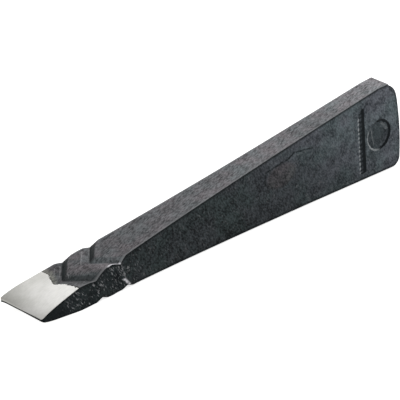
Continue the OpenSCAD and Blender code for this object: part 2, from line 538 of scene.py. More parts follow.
def build_skin():
    skin = Skin()
    upper_stations = face_stations(UPPER)
    lower_stations = face_stations(LOWER)
    upper = [station_rim(s, UPPER) for s in upper_stations]
    lower = [station_rim(s, LOWER) for s in lower_stations]
    crown = striking_rims()
    turn = 1 - np.linspace(0, 1, ARRIS_STEPS + 1)
    faces, near, far = [], [], []
    for face, near_arc, far_arc in upper + crown + lower[::-1]:
        inside = np.minimum(face[:, 1] - near_arc[-1, 1], far_arc[-1, 1] - face[:, 1])
        faces.append(skin.add(face, 1, inside))
        near.append(skin.add(near_arc, turn, 0))
        far.append(skin.add(far_arc, turn, 0))
    skin.sheet(faces + faces[:1])
    skin.sheet(near)
    skin.sheet(far)
    shared = sum(1 for s in upper_stations if s < PANEL_START + MERGE)
    panel_rims = upper[shared - 1:] + crown + lower[shared - 1:][::-1]
    for arc_index, arcs, side in ((1, near, MARKED), (2, far, PLAIN)):
        rows = []
        for i in range(shared):
            row = side_row(upper[i][arc_index], lower[i][arc_index], upper_stations[i])
            rows.append(skin.add(row, 0, side_arris(row)))
        skin.sheet(rows)
        skin.faces.append(tuple(arcs[0] + rows[0][1:-1] + arcs[-1][::-1]))
        rim = np.array([(r[arc_index][-1, 0], r[arc_index][-1, 2]) for r in panel_rims])
        side_panel(skin, rim, row[1:-1][::-1][:, [0, 2]], side)
    return np.concatenate(skin.points), skin.faces


def set_back(x, y, z):
    """Moves both ends as the last blows left them: slightly askew, and the head fuller below."""
    across = y / half_width(x, PLAIN)
    end = np.interp(x, HEAD_END, [0, 1])
    top = end * np.interp(z, HEAD_TOP, [0, 1])
    foot = end * np.interp(z, HEAD_BOTTOM, [1, 0])
    near, far = (1 - across) / 2, (1 + across) / 2
    behind = np.interp(x - face_end(UPPER), LIP_STEP, [0, 1])
    fade = np.interp(x, LIP_FADE, [1, 0])
    lip = top * near * (1 - behind)
    skew = (HEAD_SKEW[MARKED] * (1 - behind) * near + HEAD_SKEW[PLAIN] * far) * top
    lead = EDGE_LEAD * np.exp(-x / LEAD_REACH) * np.clip(across, 0, 1) ** 8
    x = x + skew + HEAD_FULLNESS * end + HEAD_FOOT * foot - lead
    drop = HEAD_DROP[MARKED] * lip + HEAD_DROP[PLAIN] * far * top
    z = z - drop - HEAD_LIP * near * top * behind * fade
    return x, y - HEAD_BURR * lip, z


def placed(points):
    """Lays the tool down on its lower working face, where the solid lies."""
    cos, sin = math.cos(HALF_ANGLE), math.sin(HALF_ANGLE)
    front = -EDGE_LAND / 2 * sin
    x = points[:, 0] * cos - points[:, 2] * sin - front + cad_low.x
    z = points[:, 0] * sin + points[:, 2] * cos + face_height(0) * cos
    return np.stack([x, points[:, 1], z], 1)


def merged(columns, faces):
    """Joins the points that sheets share, and turns the faces outwards."""
    mesh = bpy.data.meshes.new("loose")
    mesh.from_pydata(columns[:, :3].tolist(), [], faces)
    for name, column in (("working", 3), ("arris", 4)):
        layer = mesh.attributes.new(name, "FLOAT", "POINT")
        layer.data.foreach_set("value", columns[:, column].astype(np.float32))
    work = bmesh.new()
    work.from_mesh(mesh)
    bmesh.ops.remove_doubles(work, verts=work.verts, dist=MERGE)
    bmesh.ops.recalc_face_normals(work, faces=work.faces)
    triangles = sum(len(f.verts) - 2 for f in work.faces)
    open_edges = sum(1 for e in work.edges if not e.is_manifold)
    print(PIECE, triangles, "triangles", open_edges, "open edges")
    work.to_mesh(mesh)
    work.free()
    return mesh


def read_layer(mesh, name):
    values = np.zeros(len(mesh.vertices), np.float32)
    mesh.attributes[name].data.foreach_get("value", values)
    return values.astype(float)


def write_layer(mesh, name, values):
    layer = mesh.attributes.get(name) or mesh.attributes.new(name, "FLOAT", "POINT")
    layer.data.foreach_set("value", np.asarray(values, np.float32))


def dress_skin(mesh):
    """Presses the sides out at the notches, writes the masks and lays the tool down."""
    points = np.zeros(len(mesh.vertices) * 3, np.float32)
    mesh.vertices.foreach_get("co", points)
    points = points.reshape(-1, 3).astype(float)
    x, y, z = points.T
    working = read_layer(mesh, "working")
    upper = z > 0
    grind = np.interp(y / MM, *GROUND_LIMIT) - x / MM
    write_layer(mesh, "grind", np.where(working > 0.3, grind, -3))
    for i, name in enumerate(("ramp", "wall")):
        slopes = 0 * x
        for which in range(len(NOTCH_POINTS)):
            above = notch_slopes(x, y, which, UPPER)[i]
            below = notch_slopes(x, y, which, LOWER)[i]
            slopes = np.maximum(slopes, np.where(upper, above, below))
        write_layer(mesh, name, slopes * working)
    write_layer(mesh, "front_notch", np.clip((FRONT_NOTCH_END + NOTCH_LEAN * np.abs(y) - x) / MM, 0, 1))
    write_layer(mesh, "tool_x", x)
    write_layer(mesh, "tool_z", z)
    write_layer(mesh, "side", np.sign(y) * (1 - working))
    write_layer(mesh, "arris", read_layer(mesh, "arris") / MM)
    marked = swell(x, z, MARKED) / half_width(x, MARKED)
    plain = swell(x, z, PLAIN) / half_width(x, PLAIN)
    points[:, 1] = y * (1 + np.where(y < 0, marked, plain))
    points[:, 0], points[:, 1], points[:, 2] = set_back(x, points[:, 1], z)
    mesh.vertices.foreach_set("co", placed(points).astype(np.float32).ravel())
    mesh.update()


class NodeNet:
    """Places nodes in a tree and joins their sockets."""

    def __init__(self, tree):
        self.tree = tree

    def add(self, kind, inputs=(), **settings):
        node = self.tree.nodes.new(kind)
        for name, value in settings.items():
            setattr(node, name, value)
        for key, value in dict(inputs).items():
            self.feed(node.inputs[key], value)
        return node

    def feed(self, socket, value):
        if isinstance(value, bpy.types.NodeSocket):
            self.tree.links.new(value, socket)
        else:
            socket.default_value = value

    def math(self, operation, first, second=0.0, clamp=False):
        node = self.add("ShaderNodeMath", {0: first, 1: second}, operation=operation, use_clamp=clamp)
        return node.outputs[0]

    def chained(self, operation, values):
        result = values[0]
        for value in values[1:]:
            result = self.math(operation, result, value)
        return result

    def product(self, *factors):
        return self.chained("MULTIPLY", factors)

    def total(self, *parts):
        return self.chained("ADD", parts)

    def most(self, *values):
        return self.chained("MAXIMUM", values)

    def least(self, first, second):
        return self.math("MINIMUM", first, second)

    def less(self, first, second, clamp=False):
        return self.math("SUBTRACT", first, second, clamp)

    def rest(self, share):
        return self.less(1.0, share)

    def ratio(self, part, whole):
        return self.math("DIVIDE", part, whole)

    def absolute(self, value):
        return self.math("ABSOLUTE", value)

    def distance(self, aside, above):
        return self.math("SQRT", self.total(self.product(aside, aside), self.product(above, above)))

    def ramp(self, value, low, high, start=0.0, end=1.0):
        inputs = {0: value, 1: low, 2: high, 3: start, 4: end}
        node = self.add("ShaderNodeMapRange", inputs, interpolation_type="SMOOTHSTEP", clamp=True)
        return node.outputs[0]

    def mix(self, share, first, second):
        node = self.add("ShaderNodeMix", {0: share, 6: first, 7: second}, data_type="RGBA")
        return node.outputs[2]

    def tinted(self, color, tint):
        inputs = {0: 1.0, 6: color, 7: tint}
        return self.add("ShaderNodeMix", inputs, data_type="RGBA", blend_type="MULTIPLY").outputs[2]

    def scaled(self, vector, factor):
        node = self.add("ShaderNodeVectorMath", {0: vector, "Scale": factor}, operation="SCALE")
        return node.outputs[0]

    def stretched(self, vector, factors):
        node = self.add("ShaderNodeVectorMath", {0: vector, 1: factors}, operation="MULTIPLY")
        return node.outputs[0]

    def turned(self, vector, *angles):
        return self.add("ShaderNodeMapping", {"Vector": vector, "Rotation": angles}).outputs[0]

    def noise(self, vector, size, seed, detail=2.0, roughness=0.5):
        """Even noise from 0 to 1 with features of the given size; each use has its own seed."""
        inputs = {"Vector": vector, "W": seed, "Scale": self.ratio(1.0, size)}
        inputs.update({"Detail": detail, "Roughness": roughness})
        node = self.add("ShaderNodeTexNoise", inputs, noise_dimensions="4D")
        return node.outputs[0]

    def swing(self, vector, size, seed, detail=2.0, roughness=0.5):
        """The same noise round 0."""
        return self.less(self.noise(vector, size, seed, detail, roughness), 0.5)


# Kind of a group's output for each type of value
SOCKETS = {"VALUE": "NodeSocketFloat", "RGBA": "NodeSocketColor", "GEOMETRY": "NodeSocketGeometry"}


def put_out(net, **values):
    """Ends a group, with one named output for each value."""
    for name, value in values.items():
        net.tree.interface.new_socket(name, in_out="OUTPUT", socket_type=SOCKETS[value.type])
    net.add("NodeGroupOutput", values)
    return net.tree


def take_in(tree, values):
    """Makes one named input for each value, with the value as its default."""
    for name, value in values.items():
        if isinstance(value, str):
            tree.interface.new_socket(name, in_out="INPUT", socket_type="NodeSocket" + value)
        else:
            kind = "NodeSocketColor" if isinstance(value, tuple) else "NodeSocketFloat"
            socket = tree.interface.new_socket(name, in_out="INPUT", socket_type=kind)
            socket.default_value = value


# Relief that hammer, rolls and stamps leave in the skin
RELIEF_SIZES = {
    "Seed": float(SEED),
    "Hammer Size": 24 * MM,
    "Hammer Depth": 0.16 * MM,
    "Lump Size": 3.0 * MM,
    "Lump Depth": 0.07 * MM,
    "Ring Radius": RING_RADIUS,
    "Ring Wall": RING_WALL,
    "Ring Depth": RING_DEPTH,
    "Line Width": LINE_WIDTH,
    "Line Depth": LINE_DEPTH,
    "Tooth Pitch": TOOTH_PITCH,
    "Burr Height": 0.14 * MM,
}
# Floor of the round recess: its level, and the shares of its dish, its unevenness and its ridges
DISH_REACH = mm(6.4, 3.2)
FLOOR_LEVEL = 0.8
DISH_SHARE = 0.3
FLOOR_SIZE = 3.4 * MM
FLOOR_SHARE = 0.5
RIDGE_SIZE = 5.2 * MM
RIDGE_SHARE = -0.5
# Ends of the toothed line, and how its teeth lean, wander and bite into its steep edge
LINE_SHOULDER = 0.6
LINE_END_SLOPE = 0.7 * MM
TOOTH_LEAN = -0.35
TOOTH_SWAY = 3 * MM
TOOTH_BITE = 0.09
BURR_PATCH = 2.2 * MM
# Lumps of scale grow stronger towards the tip
LUMPS_TIPWARD = mm(80, 40)


def named(net, name):
    node = net.add("GeometryNodeInputNamedAttribute", {"Name": name}, data_type="FLOAT")
    return node.outputs["Attribute"]


def ring_hollow(net, size, tool_x, tool_z, place):
    """Depth of the round recess, 0 to 1: a steep wall round a dished and uneven middle."""
    aside = net.less(tool_x, RING_X)
    above = net.less(tool_z, RING_Z)
    away = net.distance(aside, above)
    inward = net.ratio(net.less(size["Ring Radius"], away), size["Ring Wall"])
    wall = net.ramp(inward, -0.1, 0.9)
    dish = net.product(net.ramp(away, *DISH_REACH), DISH_SHARE)
    uneven = net.product(net.noise(place, FLOOR_SIZE, size["Seed"], 1.0), FLOOR_SHARE)
    ridge = net.ramp(net.absolute(net.swing(place, RIDGE_SIZE, 3.0, 0.0)), 0.05, 0.0)
    return net.product(wall, net.total(FLOOR_LEVEL, dish, uneven, net.product(ridge, RIDGE_SHARE)))


def line_hollow(net, size, tool_x, tool_z, place):
    """Depth of the toothed line, 0 to 1, the burr along its steep edge, and its teeth."""
    start = net.total(LINE_X, net.product(tool_z, LINE_LEAN))
    across = net.ratio(net.less(tool_x, start), size["Line Width"])
    top = net.product(net.least(across, LINE_SHOULDER), LINE_SLANT / LINE_SHOULDER)
    under_top = net.less(net.total(top, LINE_TOP - LINE_SLANT), tool_z)
    over_bottom = net.less(tool_z, LINE_BOTTOM)
    within = net.ramp(net.least(under_top, over_bottom), 0.0, LINE_END_SLOPE)
    sway = net.product(net.noise(place, TOOTH_SWAY, size["Seed"], 1.0), TOOTH_SWAY)
    climb = net.total(tool_z, net.product(net.less(tool_x, start), TOOTH_LEAN), sway)
    half_pitch = net.product(size["Tooth Pitch"], 0.5)
    tooth = net.ratio(net.math("PINGPONG", climb, half_pitch), half_pitch)
    steep = net.less(across, net.product(tooth, TOOTH_BITE))
    wall = net.ramp(steep, -0.03, 0.05)
    slope = net.less(1.0, across, clamp=True)
    teeth = net.product(net.rest(tooth), net.ramp(across, 0.6, 0.35), within)
    hollow = net.product(wall, slope, net.less(1.1, net.product(teeth, 0.5)), within)
    raised = net.product(net.ramp(across, -0.27, -0.12), net.ramp(across, 0.06, -0.04))
    thrown = net.ramp(net.noise(place, BURR_PATCH, size["Seed"], 1.0), 0.35, 0.6, 0.4, 1.0)
    burr = net.product(raised, net.ramp(tooth, 0.3, 0.8, 0.15, 1.0), within, thrown)
    return hollow, burr, teeth


def relief_tree():
    tree = bpy.data.node_groups.new("forging_relief", "GeometryNodeTree")
    take_in(tree, {"Geometry": "Geometry", "Material": "Material", **RELIEF_SIZES})
    net = NodeNet(tree)
    size = net.add("NodeGroupInput").outputs
    tool_x, tool_z = named(net, "tool_x"), named(net, "tool_z")
    working, side = named(net, "working"), named(net, "side")
    place = net.add("GeometryNodeInputPosition").outputs[0]
    scaled = net.ramp(named(net, "grind"), 0.3, -0.3)
    plain_side = net.rest(working)
    hammered = net.product(scaled, net.total(0.5, net.product(plain_side, 0.5)))
    waves = net.product(net.noise(place, size["Hammer Size"], size["Seed"], 1.0), size["Hammer Depth"])
    tip = net.ramp(tool_x, *LUMPS_TIPWARD, 0.35, 1.0)
    lumpy = net.product(scaled, tip, net.total(0.3, net.product(plain_side, 0.7)))
    lumps = net.product(net.noise(place, size["Lump Size"], size["Seed"], 2.0), size["Lump Depth"])
    marked = net.ramp(side, -0.5, -1.0)
    ring = net.product(ring_hollow(net, size, tool_x, tool_z, place), marked)
    stamped = line_hollow(net, size, tool_x, tool_z, place)
    line, burr, teeth = [net.product(share, marked) for share in stamped]
    sunk = net.total(
        net.product(waves, hammered),
        net.product(lumps, lumpy),
        net.product(ring, size["Ring Depth"]),
        net.product(line, size["Line Depth"]),
        net.product(burr, size["Burr Height"], -1.0),
    )
    geometry = size["Geometry"]
    for name, value in (("ring", ring), ("line", line), ("burr", burr), ("teeth", teeth)):
        inputs = {"Geometry": geometry, "Name": name, "Value": value}
        stored = net.add("GeometryNodeStoreNamedAttribute", inputs, data_type="FLOAT", domain="POINT")
        geometry = stored.outputs[0]
    normal = net.add("GeometryNodeInputNormal").outputs[0]
    inward = net.scaled(normal, net.product(sunk, -1.0))
    moved = net.add("GeometryNodeSetPosition", {"Geometry": geometry, "Offset": inward})
    realized = net.add("GeometryNodeRealizeInstances", {"Geometry": moved.outputs[0]})
    inputs = {"Geometry": realized.outputs[0], "Material": size["Material"]}
    return put_out(net, Geometry=net.add("GeometryNodeSetMaterial", inputs).outputs[0])


def added_object(name, data):
    thing = bpy.data.objects.new(name, data)
    bpy.context.scene.collection.objects.link(thing)
    return thing


def forged_piece(material):
    """The skin with its relief, as one plain mesh."""
    mesh = merged(*build_skin())
    dress_skin(mesh)
    mesh.polygons.foreach_set("use_smooth", [True] * len(mesh.polygons))
    rough = added_object("rough_forging", mesh)
    modifier = rough.modifiers.new("relief", "NODES")
    tree = relief_tree()
    modifier.node_group = tree
    for item in tree.interface.items_tree:
        if item.in_out == "INPUT" and item.name in RELIEF_SIZES:
            modifier[item.identifier] = RELIEF_SIZES[item.name]
        if item.in_out == "INPUT" and item.name == "Material":
            modifier[item.identifier] = material
    graph = bpy.context.evaluated_depsgraph_get()
    finished = bpy.data.meshes.new_from_object(
        rough.evaluated_get(graph), preserve_all_data_layers=True, depsgraph=graph
    )
    rough.modifiers.remove(modifier)
    bpy.data.objects.remove(rough)
    finished.name = PIECE
    return added_object(PIECE, finished)


# Colours, as linear values
# Black of the scale, also used for painted shade on the blunt land
SCALE_BLACK_AND_SHADE = (0.005, 0.0065, 0.007, 1)
SCALE_GREY = (0.062, 0.075, 0.077, 1)
# Scale at the head, lighter as painted sheen
HEAD_SHEEN_DARK = (0.022, 0.028, 0.032, 1)
HEAD_SHEEN_GREY = (0.2, 0.228, 0.247, 1)
SCALE_BLUE = (0.95, 1.02, 1.01, 1)
SCALE_PURPLE = (1.05, 0.985, 1.04, 1)
FLAKE_TINT = (1.14, 0.99, 0.95, 1)
# Black of scale in the notches and hollows, also used for painted shade
NOTCH_BLACK_AND_SHADE = (0.0045, 0.007, 0.008, 1)
SATIN_WARM = (1.04, 0.965, 1.025, 1)
SATIN_COOL = (0.91, 1.005, 1.05, 1)
# Grey of wear, also used for painted glints and highlights
WORN_AND_GLINT_GREY = (0.3, 0.3, 0.31, 1)
# Grey of the burr, also used for painted highlights
BURR_AND_HIGHLIGHT_GREY = (0.4, 0.42, 0.43, 1)
WORN_STEEL = (0.68, 0.67, 0.7, 1)
GROUND_BRIGHT = (0.505, 0.5, 0.485, 1)
GROUND_DULL = (0.27, 0.268, 0.245, 1)
GROUND_RIM = (0.045, 0.045, 0.04, 1)
TEMPER_BROWN = (0.28, 0.278, 0.245, 1)
SATIN_LEVEL = 0.15
SCALE_ROUGHNESS = 0.52
SCALE_SPECULAR = 0.04
# Turn of the scale's grain on the sides, and of the streaks on the working faces
GRAIN_TURN = math.radians(28)
STREAK_TURN = math.radians(-17)

# Scale on the sides. A pair of places says where along the tool a look begins and is complete,
# and a pair of shares how strong it is at each
# Greyer, lighter scale towards the head and its top: painted sheen
HEAD_SHEEN_SCALE = {"Dark": HEAD_SHEEN_DARK, "Light": HEAD_SHEEN_GREY, "Patch": 6 * MM, "Contrast": 0.5, "Clouds": 0.5}
HEADWARD = mm(110, 268)
HEADWARD_TILT = 1.4
HUE_SIZE = 17 * MM
TIPWARD = mm(76, 44)
PAST_CORNER = mm(4, 24)
TIP_BLACKNESS = (0.9, 0.55)
CORNER_FLECKS = (0.05, 1.0)
TIP_FLECKS = (0.25, 0.9)
CROWNWARD = mm(241, 244)
ARRIS_SHADE = (0.75, 0.4)
# Reach of the shade under an arris, in millimetres from it
ARRIS_SHADE_REACH = (1.5, 0.3)

# Rubbed working faces and their notches
FARWARD = mm(-1.5, 1.5)
LOBE_START = mm(30.5, 33)
LOBE_END = mm(42.5, 40)
BODY_LIGHTER = mm(60, 160)
BODY_LEVEL = (0.9, 1.24)
HEAD_LIGHTER = mm(190, 240)
HEAD_LEVEL = 0.55
# Painted light on the near part of the lobe; the near walls of the notches a little darker
LOBE_LEVEL = 0.14
WALL_LEVEL = -0.1
PIT_SHADE = 0.45
FAR_WALL_SHADE = 0.9
FRONT_WALL_SHADE = (0.64, 0.97)
FRONT_RAMP_SHADE = (0.1, 0.4)
EDGE_WEAR = 0.45

# Bare steel on the rear notch's arris, and the ground tip
NEAR_ARRIS = mm(-9, -11)
BARE_START = mm(43, 44.6)
BARE_END = mm(52, 51)
RAGGED_SIZE = 1.1 * MM
RAGGED_REACH = 4.2
FAR_DULL = mm(-6, 16)
EDGE_DULL = mm(12, 0)
TEMPER_REACH = (-4.2, -0.4)
# The painted shade on the lower part of the blunt land takes up less of it towards the far corner
LAND_SLANT = mm(-12, 15)
LAND_SPLIT = mm(0.5, -0.1)

# Place of a thin flake of scale that has come off the marked side
FLAKE_X = 162.5 * MM
FLAKE_Z = 4.5 * MM
FLAKE_LENGTH = 12 * MM
FLAKE_HEIGHT = 7.5 * MM

# Light lines that the fuller left across the far half of the marked face's notches, each with
# its start on the centre line, its slope, where it begins and ends, its half width and its
# strength. Lengths in this table and the next ones are in millimetres
FULLER_SLOPE = 0.858
FULLER_LINES = (
    (19.7, FULLER_SLOPE, 5.5, 10.5, 0.33, 0.8),
    (23.1, FULLER_SLOPE, 2.6, 11, 0.36, 0.65),
    (28.5, 0.47, -2, 2, 0.3, 0.75),
    (36.8, FULLER_SLOPE, 0.6, 10.4, 0.4, 1.0),
    (40.9, FULLER_SLOPE, 1, 11.4, 0.4, 0.4),
)
# Light lines down the marked side at the rear notch, where the swelling is rubbed and a painted highlight
# marks its ridge, measured along z in the same way
RIDGE_LINES = (
    (52.75, -0.17, -3.6, 6, 0.4, 0.6),
    (51.7, -0.56, -1.4, 3, 0.35, 0.45),
)
# Dark rim of the flake: its left end, measured along z, and its upper edge, measured along x
FLAKE_ENDS = ((150.6, 0.1, 3.2, 10, 0.55, 1.0),)
FLAKE_TOPS = (
    (0.2, 0.068, 151.5, 168.4, 0.55, 0.9),
    (-47.4, 0.352, 167, 174, 0.55, 1.0),
    (48, -0.2, 173, 187, 0.5, 0.8),
)
# Painted highlights along creases inside the round recess
RING_LINES = (
    (229.6, -0.12, -6.6, 4.6, 0.38, 0.42),
    (239.9, -0.75, -1.6, 4.6, 0.8, 0.3),
)
# Painted shade on steps inside the round recess
RING_SHADES = (
    (239, -0.28, -3.6, 4.6, 0.55, 0.95),
    (231.6, -0.2, -4, 6.6, 0.4, 0.7),
)
# Bright nick at the lower end of the rear notch
NICK_LINE = (50.1, -0.73, -7.9, -2.2, 1.0, 1.0)

# Light on the object, and the glow that keeps the ground white
ROOM_LIGHT = 0.62
KEY_POWER = 2.6
FILL_POWER = 1.6
GROUND_GLOW = 0.72


def shader_group(name, **inputs):
    net = NodeNet(bpy.data.node_groups.new(name, "ShaderNodeTree"))
    take_in(net.tree, {"Vector": "Vector", **inputs})
    return net, net.add("NodeGroupInput").outputs


def forge_scale_group():
    """Dry black forging scale: short grains that lean over broad cloudy patches."""
    sizes = {"Grain": 0.75 * MM, "Patch": 7 * MM, "Contrast": 0.85, "Clouds": 0.4}
    net, given = shader_group("forge_scale", Dark=SCALE_BLACK_AND_SHADE, Light=SCALE_GREY, **sizes)
    drawn = net.stretched(net.turned(given["Vector"], 0, GRAIN_TURN, 0), (1.0, 1.0, 0.6))
    grain = net.noise(drawn, given["Grain"], 1.0, 1.0, 0.4)
    patch = net.noise(given["Vector"], given["Patch"], 2.0, 3.0, 0.6)
    speckle = net.product(net.ramp(grain, 0.28, 0.74, -0.5, 0.5), given["Contrast"])
    clouded = net.product(net.ramp(patch, 0.3, 0.7, -0.5, 0.5), given["Clouds"])
    lit = net.math("ADD", net.total(speckle, clouded), 0.5, clamp=True)
    return put_out(net, Color=net.mix(lit, given["Dark"], given["Light"]), Height=grain)


def satin_group():
    """Rubbed steel: short streaks along the tool, warm and cool clouds, small dark pits."""
    sizes = {"Length": 1.9 * MM, "Width": 0.75 * MM, "Cloud": 11 * MM}
    net, given = shader_group("satin_steel", Warmth=0.5, **sizes)
    across = net.ratio(given["Width"], given["Length"])
    squeeze = net.add("ShaderNodeCombineXYZ", {0: across, 1: 1.0, 2: 1.0}).outputs[0]
    drawn = net.stretched(net.turned(given["Vector"], 0, 0, STREAK_TURN), squeeze)
    streaks = net.noise(drawn, given["Width"], 4.0, 2.0, 0.5)
    cloud = net.noise(given["Vector"], given["Cloud"], 12.0, 3.0, 0.6)
    warm = net.total(net.ramp(cloud, 0.3, 0.7, -0.5, 0.5), given["Warmth"])
    color = net.mix(warm, SATIN_COOL, SATIN_WARM)
    patchy = net.noise(given["Vector"], net.product(given["Cloud"], 0.6), 15.0, 2.0)
    streaks = net.ramp(streaks, 0.28, 0.72, 0.5, 1.5)
    shade = net.total(streaks, net.ramp(patchy, 0.3, 0.7, -0.17, 0.17))
    specks = net.noise(drawn, net.product(given["Width"], 1.2), 5.0, 1.0)
    return put_out(net, Color=color, Shade=shade, Pits=net.ramp(specks, 0.6, 0.68))


def edge_wear_group():
    """Where an arris has lost its scale: 1 on the arris, fading raggedly away from it."""
    net, given = shader_group("edge_wear", Distance=1.0, Reach=1.6, Raggedness=0.5)
    ragged = net.product(net.noise(given["Vector"], 2.2 * MM, 6.0, 3.0), given["Raggedness"], 2.0)
    reach = net.product(given["Reach"], net.total(net.rest(given["Raggedness"]), ragged))
    return put_out(net, Mask=net.ramp(net.ratio(given["Distance"], reach), 1.0, 0.2))


def ground_lines_group():
    """Fine lines that a grinding wheel leaves along the tool."""
    net, given = shader_group("ground_lines", Spacing=0.5 * MM)
    lines = net.noise(net.stretched(given["Vector"], (0.08, 1.0, 1.0)), given["Spacing"], 7.0, 2.0)
    return put_out(net, Shade=lines, Cloud=net.noise(given["Vector"], 6 * MM, 8.0, 3.0))


def fleck_field_group():
    """Small bright flecks, longer than wide, where lumps of scale are rubbed and catch the light: partly
    painted glints.
    """
    net, given = shader_group("fleck_field", Size=0.66 * MM, Share=0.3)
    drawn = net.stretched(net.turned(given["Vector"], 0, GRAIN_TURN, 0), (1.2, 1.0, 0.38))
    spots = net.noise(drawn, given["Size"], 9.0, 1.0, 0.4)
    broad = net.noise(given["Vector"], 5 * MM, 10.0, 1.0)
    share = net.product(given["Share"], net.ramp(broad, 0.3, 0.7, 0.65, 1.0))
    above = net.total(spots, share, -0.86)
    rubbed = net.ramp(net.noise(given["Vector"], 2.1 * MM, 20.0, 1.0), 0.35, 0.68, 0.25, 1.0)
    return put_out(net, Mask=net.product(net.ramp(above, -0.03, 0.1), rubbed))


def thin_line_group():
    """A thin line, used for wear, painted highlights and painted shade: its half width, start, slope and
    ends, broken up a little.
    """
    place = {"Along": 0.0, "Across": 0.0, "Start": 0.0, "Slope": 0.0, "Low": 0.0, "High": 0.0}
    net, given = shader_group("thin_line", **place, Width=0.3 * MM)
    middle = net.total(given["Start"], net.product(given["Across"], given["Slope"]))
    sway = net.product(net.swing(given["Vector"], 2.5 * MM, 14.0), 2.4 * MM)
    off = net.absolute(net.total(net.less(given["Along"], middle), sway))
    on_line = net.ramp(net.ratio(off, given["Width"]), 1.4, 0.5)
    starts = net.ramp(net.less(given["Across"], given["Low"]), 0.0, 1 * MM)
    ends = net.ramp(net.less(given["High"], given["Across"]), 0.0, 1 * MM)
    broken = net.ramp(net.noise(given["Vector"], 1.1 * MM, 16.0, 1.0), 0.35, 0.6, 0.45, 1.0)
    return put_out(net, Mask=net.product(on_line, starts, ends, broken))


def stamped_rim_group():
    """The round recess's rim: a painted highlight low on the left, where its wall faces the light, and
    painted shade above and to the right, where it faces away.
    """
    net, given = shader_group("stamped_rim", Aside=0.0, Above=0.0, Radius=RING_RADIUS)
    aside, above = given["Aside"], given["Above"]
    away = net.distance(aside, above)
    sway = net.product(net.swing(given["Vector"], 1.6 * MM, 17.0), 1.2 * MM)
    out = net.total(net.less(away, given["Radius"]), sway)
    inward = net.ratio(1.0, away)
    lit = net.product(net.total(net.product(aside, -0.9), net.product(above, -0.44)), inward)
    shaded = net.product(net.total(aside, net.product(above, 0.05)), inward)
    rim = net.ramp(net.absolute(net.total(out, 0.1 * MM)), 0.65 * MM, 0.25 * MM)
    broken = net.ramp(net.noise(given["Vector"], 0.8 * MM, 18.0, 1.0), 0.3, 0.6, 0.4, 1.0)
    bright = net.product(rim, net.ramp(lit, 0.35, 0.8), broken)
    band = net.ramp(net.absolute(net.total(out, 0.5 * MM)), 1.05 * MM, 0.5 * MM)
    return put_out(net, Bright=bright, Dark=net.product(band, net.ramp(shaded, -0.4, 0.1)))


# Values that each point of the skin carries
MASKS = (
    "working", "side", "grind", "arris", "ramp", "wall", "front_notch",
    "tool_x", "tool_z", "ring", "line", "burr", "teeth",
)


class SteelNet(NodeNet):
    """The steel's nodes, with the place in the tool's coordinates and the skin's masks at hand."""

    def __init__(self, tree):
        super().__init__(tree)
        self.place = self.turned(self.add("ShaderNodeTexCoord").outputs["Object"], 0, HALF_ANGLE, 0)
        self.across = self.add("ShaderNodeSeparateXYZ", {0: self.place}).outputs[1]
        self.mask = {}
        for name in MASKS:
            self.mask[name] = self.add("ShaderNodeAttribute", attribute_name=name).outputs["Fac"]
        self.on_face = self.ramp(self.mask["working"], 0.35, 0.65)
        self.marked = self.ramp(self.mask["side"], 0.0, -0.5)
        self.far = self.ramp(self.across, *FARWARD)
        self.upper = self.ramp(self.mask["tool_z"], 0.0, 2 * MM)
        self.line_tree = thin_line_group()

    def group(self, tree, **values):
        node = self.add("ShaderNodeGroup", node_tree=tree)
        self.feed(node.inputs["Vector"], self.place)
        for name, value in values.items():
            self.feed(node.inputs[name], value)
        return node.outputs

    def line_marks(self, lines, along, across):
        """The strongest of a set of thin lines: wear, painted highlights and painted shade."""
        strongest = 0.0
        for start, slope, low, high, width, strength in lines:
            given = {"Start": start * MM, "Low": low * MM, "High": high * MM, "Width": width * MM}
            given.update({"Along": along, "Across": across, "Slope": slope})
            mask = self.group(self.line_tree, **given)["Mask"]
            strongest = self.most(self.product(mask, strength), strongest)
        return strongest

    def side_lines(self, lines):
        """Thin lines down the marked side, measured along z: wear, painted highlights and painted shade.
        """
        return self.product(self.line_marks(lines, self.mask["tool_x"], self.mask["tool_z"]), self.marked)


def flake_color(net, color):
    """The patch that a flake of scale has left: a little warmer, with a dark ragged rim."""
    tool_x, tool_z = net.mask["tool_x"], net.mask["tool_z"]
    aside = net.ratio(net.less(tool_x, FLAKE_X), FLAKE_LENGTH)
    above = net.ratio(net.less(tool_z, FLAKE_Z), FLAKE_HEIGHT)
    flaked = net.product(net.ramp(net.distance(aside, above), 1.0, 0.7), net.marked)
    color = net.mix(flaked, color, net.tinted(color, FLAKE_TINT))
    upper_rim = net.product(net.line_marks(FLAKE_TOPS, tool_z, tool_x), net.marked)
    return net.mix(net.most(net.side_lines(FLAKE_ENDS), upper_rim), color, NOTCH_BLACK_AND_SHADE)


